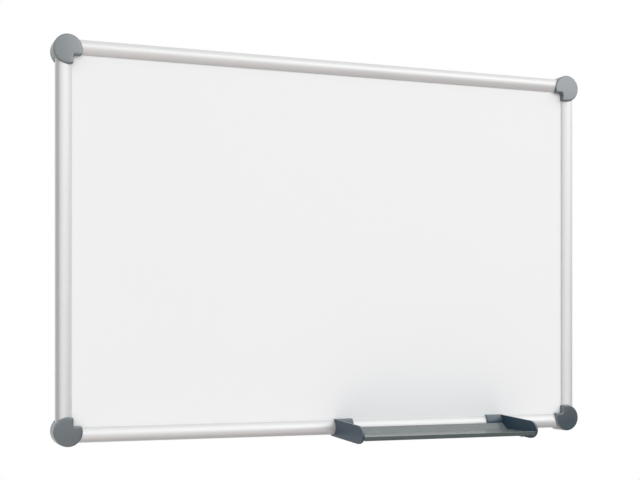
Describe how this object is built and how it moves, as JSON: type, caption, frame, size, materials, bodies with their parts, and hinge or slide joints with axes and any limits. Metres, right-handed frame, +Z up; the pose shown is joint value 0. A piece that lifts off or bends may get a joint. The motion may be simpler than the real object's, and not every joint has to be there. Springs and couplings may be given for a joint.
{
  "type": "magnetic whiteboard",
  "caption": "Wall whiteboard with a lacquered steel face, half-round aluminium rails, round plastic corners with push-on covers, and a pen tray that slides along the lower rail.",
  "frame": {"origin": "centre of the outline of the four rails, on the wall behind the board", "axes": "+X to the right along the board as a reader sees it, +Y into the wall, +Z up"},
  "size_m": [0.9108, 0.122, 0.6116],
  "materials": {
    "white_lacquered_steel": "white lacquer with a soft gloss",
    "honeycomb_board": "raw brown board",
    "zinc_coated_sheet": "zinc coating, dull",
    "anodised_aluminium": "satin anodised",
    "corner_plastic": "fine grained, blue grey",
    "tray_plastic": "fine grained, slate blue",
    "tray_shelf_plastic": "fine grained, grey green",
    "nylon": "natural white nylon",
    "zinc_plated_steel": "zinc plated"
  },
  "bodies": {
    "board": {"back_sheet": "zinc_coated_sheet", "panel_core": "honeycomb_board", "writing_surface": "white_lacquered_steel", "rail_top": "anodised_aluminium", "rail_bottom": "anodised_aluminium", "rail_left": "anodised_aluminium", "rail_right": "anodised_aluminium", "corner_base_top_left": "corner_plastic", "corner_base_top_right": "corner_plastic", "corner_base_bottom_left": "corner_plastic", "corner_base_bottom_right": "corner_plastic", "frame_screw_across_top_left": "zinc_plated_steel", "frame_screw_upright_top_left": "zinc_plated_steel", "frame_screw_across_top_right": "zinc_plated_steel", "frame_screw_upright_top_right": "zinc_plated_steel", "frame_screw_across_bottom_left": "zinc_plated_steel", "frame_screw_upright_bottom_left": "zinc_plated_steel", "frame_screw_across_bottom_right": "zinc_plated_steel", "frame_screw_upright_bottom_right": "zinc_plated_steel"},
    "tray": {"tray_shelf": "tray_shelf_plastic", "tray_bracket_left": "tray_plastic", "tray_bracket_right": "tray_plastic", "tray_screw_left_rear": "zinc_plated_steel", "tray_screw_left_front": "zinc_plated_steel", "tray_screw_right_rear": "zinc_plated_steel", "tray_screw_right_front": "zinc_plated_steel"},
    "cover_top_left": {"corner_cover_top_left": "corner_plastic"},
    "bush_top_left": {"wall_bush_top_left": "nylon"},
    "cover_top_right": {"corner_cover_top_right": "corner_plastic"},
    "bush_top_right": {"wall_bush_top_right": "nylon"},
    "cover_bottom_left": {"corner_cover_bottom_left": "corner_plastic"},
    "bush_bottom_left": {"wall_bush_bottom_left": "nylon"},
    "cover_bottom_right": {"corner_cover_bottom_right": "corner_plastic"},
    "bush_bottom_right": {"wall_bush_bottom_right": "nylon"}
  },
  "joints": [
    {"name": "tray_slide", "type": "slide", "parent": "board", "child": "tray", "axis": [1, 0, 0], "range_m": [-0.4075, 0.1025]},
    {"name": "cover_top_left_pull", "type": "slide", "parent": "board", "child": "cover_top_left", "axis": [0, -1, 0], "range_m": [0, 0.013]},
    {"name": "bush_top_left_turn", "type": "hinge", "parent": "board", "child": "bush_top_left", "pos_m": [-0.43826, 0, 0.28826], "axis": [0, 1, 0], "continuous": true},
    {"name": "cover_top_right_pull", "type": "slide", "parent": "board", "child": "cover_top_right", "axis": [0, -1, 0], "range_m": [0, 0.013]},
    {"name": "bush_top_right_turn", "type": "hinge", "parent": "board", "child": "bush_top_right", "pos_m": [0.43826, 0, 0.28826], "axis": [0, 1, 0], "continuous": true},
    {"name": "cover_bottom_left_pull", "type": "slide", "parent": "board", "child": "cover_bottom_left", "axis": [0, -1, 0], "range_m": [0, 0.013]},
    {"name": "bush_bottom_left_turn", "type": "hinge", "parent": "board", "child": "bush_bottom_left", "pos_m": [-0.43826, 0, -0.28826], "axis": [0, 1, 0], "continuous": true},
    {"name": "cover_bottom_right_pull", "type": "slide", "parent": "board", "child": "cover_bottom_right", "axis": [0, -1, 0], "range_m": [0, 0.013]},
    {"name": "bush_bottom_right_turn", "type": "hinge", "parent": "board", "child": "bush_bottom_right", "pos_m": [0.43826, 0, -0.28826], "axis": [0, 1, 0], "continuous": true}
  ]
}
